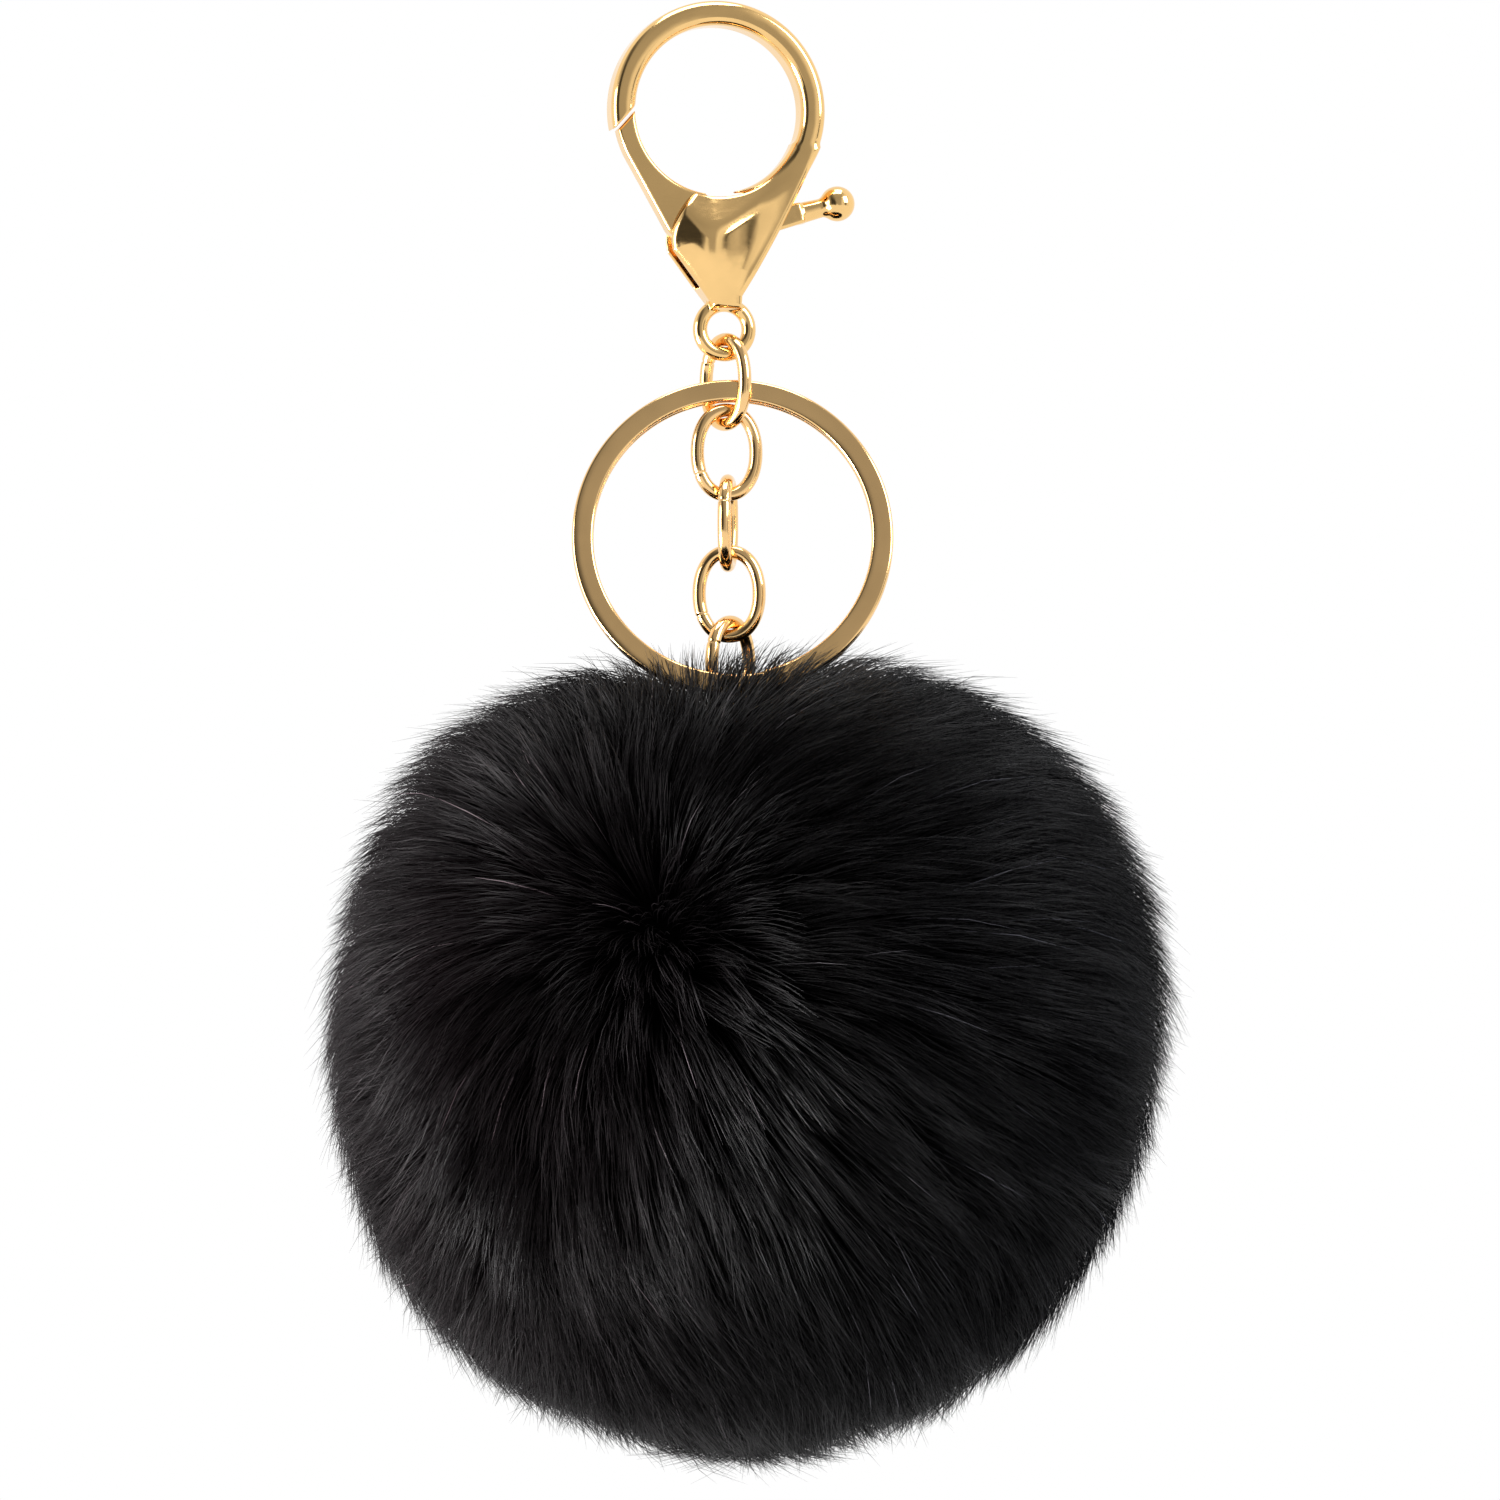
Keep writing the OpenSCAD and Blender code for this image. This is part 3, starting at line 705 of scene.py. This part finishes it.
def make_hide():
    """The hide's bag: a closed skin of one thickness, drawn up into pleats at its neck."""
    pleats, cols, rows = 14, 168, 46
    throat = math.asin(NECK_R / HIDE_R)
    polar = np.linspace(math.pi, throat, rows)[1:]
    outer = [(HIDE_R * math.sin(p), HIDE_R * math.cos(p)) for p in polar]
    inner = [((HIDE_R - HIDE_T) * math.sin(p), (HIDE_R - HIDE_T) * math.cos(p)) for p in polar[:-2]]
    top = NECK_TOP - HIDE_AT[2]
    neck = [(NECK_R, top - 2.6), (NECK_R, top - 1.0), (NECK_R, top - 0.2), (NECK_R - 0.2, top)]
    throat_r = NECK_R - HIDE_T
    back = [(throat_r + 0.2, top), (throat_r, top - 0.2), (throat_r, top - 2.6)]
    back.append((throat_r + 0.2, inner[-1][1] + 0.6))
    profile = np.array(outer + neck + back + inner[::-1])
    turn = np.arange(cols) * 2 * math.pi / cols
    rho, z = profile[:, :1], profile[:, 1:]
    drawn = np.clip((z - 12.0) / 8.0, 0, 1) ** 1.5
    depth = 0.11 * np.minimum(rho, 6.0) * drawn
    radius = rho - depth * (0.5 + 0.5 * np.cos(pleats * turn + 0.5 * np.sin(3 * turn)))
    rings = np.stack([radius * np.cos(turn), radius * np.sin(turn), np.broadcast_to(z, radius.shape)], -1)
    points = np.concatenate([rings.reshape(-1, 3), [[0, 0, -HIDE_R], [0, 0, HIDE_T - HIDE_R]]]) + HIDE_AT
    hide = outward(new_object("pleated_hide", points, closed_faces(len(profile), cols), HIDE))
    finish_piece(hide, "pompom", ["pelt_cover"])


def make_thread():
    """Three turns of two-ply thread round the neck, its ends drawn to a point."""
    steps, sides, turns, twists = 420, 12, 2.95, 34
    a = np.linspace(0, 2 * math.pi * turns, steps)
    coil = NECK_R + 0.05 + THREAD_R
    fall = np.linspace(0, 1, steps) * 1.1
    path = np.stack([coil * np.cos(a), coil * np.sin(a), NECK_TOP - 1.2 - fall], 1) + [HIDE_AT[0], 0, 0]
    round_ = np.arange(sides) * 2 * math.pi / sides
    twist = np.linspace(0, twists * math.pi, steps)[:, None]
    ply = THREAD_R * (0.74 + 0.26 * np.abs(np.cos(round_[None] - twist)))
    ends = np.clip(np.minimum(np.arange(steps), np.arange(steps)[::-1]) / 6.0, 0.15, 1)[:, None]
    section = (ply * ends)[..., None] * np.stack([np.cos(round_), np.sin(round_)], 1)[None]
    points, faces = sweep(path, section, np.tile([0.0, 0, 1], (steps, 1)), False)
    thread = outward(new_object("twisted_thread", points, faces, THREAD))
    finish_piece(thread, "pompom", ["gather_thread"])


def make_pompom():
    """The pile: a close underlayer, with the hairs over it."""

    def under(way):
        return outer_radius(way) - 6.6 - dish(way) * 3.5 + 0.5 * smooth_noise(way, 8, 14.0)

    underfur = ball_mesh("fur_underlayer", BALL_MID, under, 90, FUR)
    finish_piece(underfur, "pompom", ["fur_pile"])
    make_hairs()


# ---------------------------------------------------------------- studio
def make_world():
    """White to the eye, softly lit, with a room of dark and light bands for the metal to mirror."""
    scene = bpy.context.scene
    scene.view_settings.view_transform = "Standard"
    world = bpy.data.worlds.new("studio")
    scene.world = world
    world.use_nodes = True
    tree = world.node_tree
    tree.nodes.clear()
    way = add(tree, "ShaderNodeTexCoord").outputs["Generated"]

    def toward(axis):
        """How far a direction points along an axis: from -1 to 1, and the same from 0 to 1."""
        pair = {0: way, 1: tuple(axis)}
        dot = add(tree, "ShaderNodeVectorMath", pair, operation="DOT_PRODUCT").outputs["Value"]
        limits = {"Value": dot, "From Min": -1.0, "From Max": 1.0}
        return dot, add(tree, "ShaderNodeMapRange", limits).outputs[0]

    def maths(operation, a, b):
        return add(tree, "ShaderNodeMath", {0: a, 1: b}, operation=operation).outputs[0]

    right, right_01 = toward(RIGHT)
    up, up_01 = toward(UP)
    _, front_01 = toward(FRONT)
    left_bands = [(0.0, 1.0), (0.1, 0.5), (0.2, 0.05), (0.4, 0.05), (0.46, 0.3), (0.52, 0.41)]
    right_bands = [(0.71, 0.43), (0.78, 0.9), (0.86, 0.8), (0.92, 0.07), (0.97, 0.9)]
    sideways = ramp(tree, right_01, left_bands + right_bands)
    low_bands = [(0.0, 1.0), (0.25, 1.0), (0.4, 0.95), (0.47, 0.6)]
    high_bands = [(0.51, 0.42), (0.8, 0.38), (0.94, 0.45), (1.0, 0.8)]
    upright = ramp(tree, up_01, low_bands + high_bands)
    up2 = maths("MULTIPLY", up, up)
    right2 = maths("MULTIPLY", maths("MULTIPLY", right, right), 2.4)
    share = maths("DIVIDE", up2, maths("ADD", up2, maths("ADD", right2, 0.0001)))
    limits = {"Value": share, "From Min": 0.15, "From Max": 0.9}
    share = add(tree, "ShaderNodeMapRange", limits, interpolation_type="SMOOTHSTEP").outputs[0]
    room = blend(tree, share, sideways, upright)
    behind = ramp(tree, front_01, [(0.5, 1.0), (0.6, 0.0)])
    mirror = blend(tree, behind, room, (1.0, 1.0, 1.0, 1.0))
    paths = add(tree, "ShaderNodeLightPath")
    glossy_ray, camera_ray = paths.outputs["Is Glossy Ray"], paths.outputs["Is Camera Ray"]
    soft = add(tree, "ShaderNodeBackground", {"Color": (1, 1, 1, 1), "Strength": 0.3})
    seen = add(tree, "ShaderNodeBackground", {"Color": (1, 1, 1, 1), "Strength": 1.0})
    shiny = add(tree, "ShaderNodeBackground", {"Color": mirror, "Strength": 1.0})
    first = add(tree, "ShaderNodeMixShader", {0: glossy_ray, 1: soft.outputs[0], 2: shiny.outputs[0]})
    last = add(tree, "ShaderNodeMixShader", {0: camera_ray, 1: first.outputs[0], 2: seen.outputs[0]})
    add(tree, "ShaderNodeOutputWorld", {"Surface": last.outputs[0]})


def make_camera():
    scene = bpy.context.scene
    middle = (VIEW_MID[0] * RIGHT + VIEW_MID[1] * UP) * MM
    camera = bpy.data.cameras.new("camera")
    camera.lens, camera.sensor_width = 150.0, 36.0
    far = VIEW_WIDTH * MM * camera.lens / camera.sensor_width
    viewer = bpy.data.objects.new("camera", camera)
    scene.collection.objects.link(viewer)
    viewer.location = Vector(middle + FRONT * far)
    viewer.rotation_euler = Vector(-FRONT).to_track_quat("-Z", "Y").to_euler()
    camera.clip_start, camera.clip_end = 0.01, 20
    scene.camera = viewer


def make_lamp(name, place, size, power):
    """An area lamp aimed at the chain; place is to the right, forward and up, in metres."""
    data = bpy.data.lights.new(name, "AREA")
    data.shape, data.energy = "RECTANGLE", power
    data.size, data.size_y = size
    made = bpy.data.objects.new(name, data)
    bpy.context.scene.collection.objects.link(made)
    made.location = Vector(place[0] * RIGHT + place[1] * FRONT + place[2] * UP)
    made.rotation_euler = (Vector((0, 0, -0.06)) - made.location).to_track_quat("-Z", "Y").to_euler()


def make_floor():
    """A matt floor below the part, which the camera and the metal see as white."""
    floor, tree = new_material("pale_floor")
    paths = add(tree, "ShaderNodeLightPath")
    matt = add(tree, "ShaderNodeBsdfDiffuse", {"Color": (0.85, 0.85, 0.85, 1)})
    white = add(tree, "ShaderNodeEmission", {"Color": (1, 1, 1, 1), "Strength": 1.0})
    rays = {0: paths.outputs["Is Camera Ray"], 1: paths.outputs["Is Glossy Ray"]}
    pick = add(tree, "ShaderNodeMath", rays, operation="MAXIMUM")
    halves = {0: pick.outputs[0], 1: matt.outputs[0], 2: white.outputs[0]}
    surface(tree, add(tree, "ShaderNodeMixShader", halves))
    side, level = 1500, -330
    square = [(-side, -side, level), (side, -side, level), (side, side, level), (-side, side, level)]
    ground = new_object("floor", square, [[0, 1, 2, 3]], floor, smooth=False)


make_world()
make_camera()
make_lamp("key_left", (-0.6, 0.24, -0.05), (0.3, 0.5), 3.0)
make_lamp("fill_right", (0.55, 0.3, 0.25), (0.3, 0.4), 3.4)
make_lamp("low_left", (-0.5, 0.23, -0.27), (0.3, 0.2), 6.5)
make_lamp("top", (0.0, 0.05, 0.65), (0.5, 0.4), 4.0)
make_floor()
make_clasp()
for index in range(5):
    make_link(index)
make_ring()
make_core()
make_hide()
make_thread()
make_pompom()
for name, material in (("pivot_rivet", GOLD_CAST), ("eye_pin", GOLD_WIRE), ("anchor_disc", DISC)):
    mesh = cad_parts[name].data
    mesh.materials.clear()
    mesh.materials.append(material)
